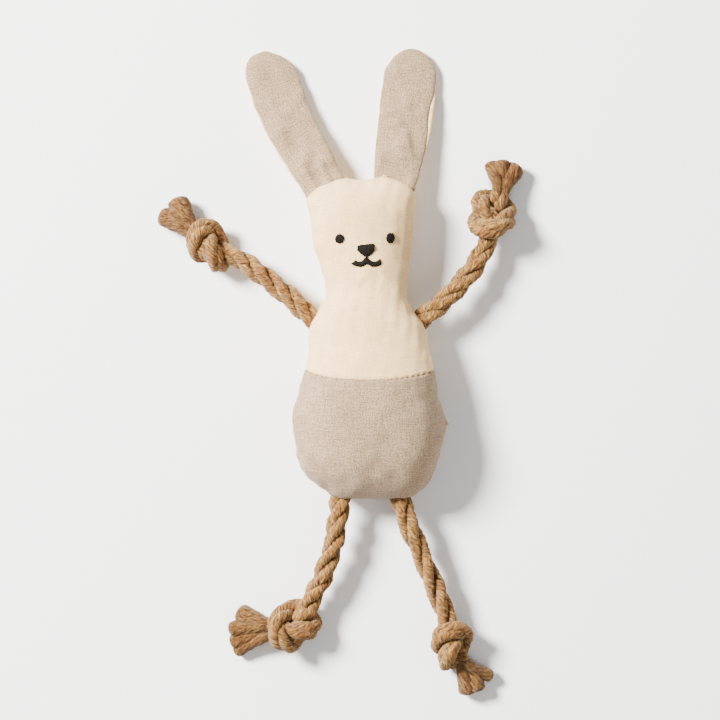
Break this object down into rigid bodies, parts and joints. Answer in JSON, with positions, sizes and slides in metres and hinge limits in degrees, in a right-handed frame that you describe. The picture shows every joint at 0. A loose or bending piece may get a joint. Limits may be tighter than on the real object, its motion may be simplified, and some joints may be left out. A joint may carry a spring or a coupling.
{
  "type": "stuffed rabbit toy",
  "caption": "Flat stuffed linen rabbit with padded ears, embroidered face, squeaker and knotted jute rope arms and legs that swing at the seams.",
  "frame": {"origin": "on the surface that the toy lies on, at the middle of the flat that the belly's back rests on", "axes": "+Z out of the face and belly; +Y from the legs to the ears; +X towards the toy's own left side, which is on the right when it is looked at from the front"},
  "size_m": [0.1989, 0.3536, 0.0464],
  "materials": {
    "cream_linen": "plain weave linen, matte",
    "grey_linen": "plain weave linen, matte",
    "jute_rope": "three strand twisted jute, hairy",
    "black_thread": "satin stitch",
    "filling": "loose fibre",
    "squeaker_plastic": "blow moulded, satin"
  },
  "bodies": {
    "torso": {"front_upper_panel": "cream_linen", "back_upper_panel": "cream_linen", "front_lower_panel": "grey_linen", "back_lower_panel": "grey_linen", "upper_filling": "filling", "lower_filling": "filling", "squeaker_bulb": "squeaker_plastic", "squeaker_reed": "squeaker_plastic", "right_eye": "black_thread", "left_eye": "black_thread", "nose": "black_thread", "mouth": "black_thread", "closing_stitches": "grey_linen"},
    "right_ear": {"right_ear_front_panel": "grey_linen", "right_ear_back_panel": "cream_linen", "right_ear_wadding": "filling"},
    "left_ear": {"left_ear_front_panel": "grey_linen", "left_ear_back_panel": "cream_linen", "left_ear_wadding": "filling"},
    "right_arm_root": {"right_arm_sewn_end": "jute_rope"},
    "right_arm": {"right_arm_rope": "jute_rope", "right_arm_knot": "jute_rope", "right_arm_frayed_end": "jute_rope"},
    "left_arm_root": {"left_arm_sewn_end": "jute_rope"},
    "left_arm": {"left_arm_rope": "jute_rope", "left_arm_knot": "jute_rope", "left_arm_frayed_end": "jute_rope"},
    "right_leg_root": {"right_leg_sewn_end": "jute_rope"},
    "right_leg": {"right_leg_rope": "jute_rope", "right_leg_knot": "jute_rope", "right_leg_frayed_end": "jute_rope"},
    "left_leg_root": {"left_leg_sewn_end": "jute_rope"},
    "left_leg": {"left_leg_rope": "jute_rope", "left_leg_knot": "jute_rope", "left_leg_frayed_end": "jute_rope"}
  },
  "joints": [
    {"name": "right_ear_fold", "type": "hinge", "parent": "torso", "child": "right_ear", "pos_m": [-0.0256, 0.1336, 0.0156], "axis": [0.8913, 0.4535, 0], "range_deg": [-70, 85]},
    {"name": "left_ear_fold", "type": "hinge", "parent": "torso", "child": "left_ear", "pos_m": [0.0153, 0.1361, 0.0156], "axis": [0.9535, -0.3015, 0], "range_deg": [-70, 85]},
    {"name": "right_arm_swing", "type": "hinge", "parent": "torso", "child": "right_arm_root", "pos_m": [-0.0316, 0.0594, 0.0184], "axis": [0, 0, 1], "range_deg": [-30, 20]},
    {"name": "right_arm_lift", "type": "hinge", "parent": "right_arm_root", "child": "right_arm", "pos_m": [-0.0316, 0.0594, 0.0184], "axis": [0.6479, 0.7617, 0], "range_deg": [-45, 55]},
    {"name": "left_arm_swing", "type": "hinge", "parent": "torso", "child": "left_arm_root", "pos_m": [0.0306, 0.059, 0.0184], "axis": [0, 0, 1], "range_deg": [-18, 15]},
    {"name": "left_arm_lift", "type": "hinge", "parent": "left_arm_root", "child": "left_arm", "pos_m": [0.0306, 0.059, 0.0184], "axis": [0.712, -0.7022, 0], "range_deg": [-45, 55]},
    {"name": "right_leg_swing", "type": "hinge", "parent": "torso", "child": "right_leg_root", "pos_m": [-0.0154, -0.041, 0.0174], "axis": [0, 0, 1], "range_deg": [-30, 30]},
    {"name": "right_leg_lift", "type": "hinge", "parent": "right_leg_root", "child": "right_leg", "pos_m": [-0.0154, -0.041, 0.0174], "axis": [-0.9729, 0.2314, 0], "range_deg": [-45, 55]},
    {"name": "left_leg_swing", "type": "hinge", "parent": "torso", "child": "left_leg_root", "pos_m": [0.018, -0.0412, 0.0174], "axis": [0, 0, 1], "range_deg": [-30, 30]},
    {"name": "left_leg_lift", "type": "hinge", "parent": "left_leg_root", "child": "left_leg", "pos_m": [0.018, -0.0412, 0.0174], "axis": [-0.9304, -0.3666, 0], "range_deg": [-45, 55]}
  ]
}
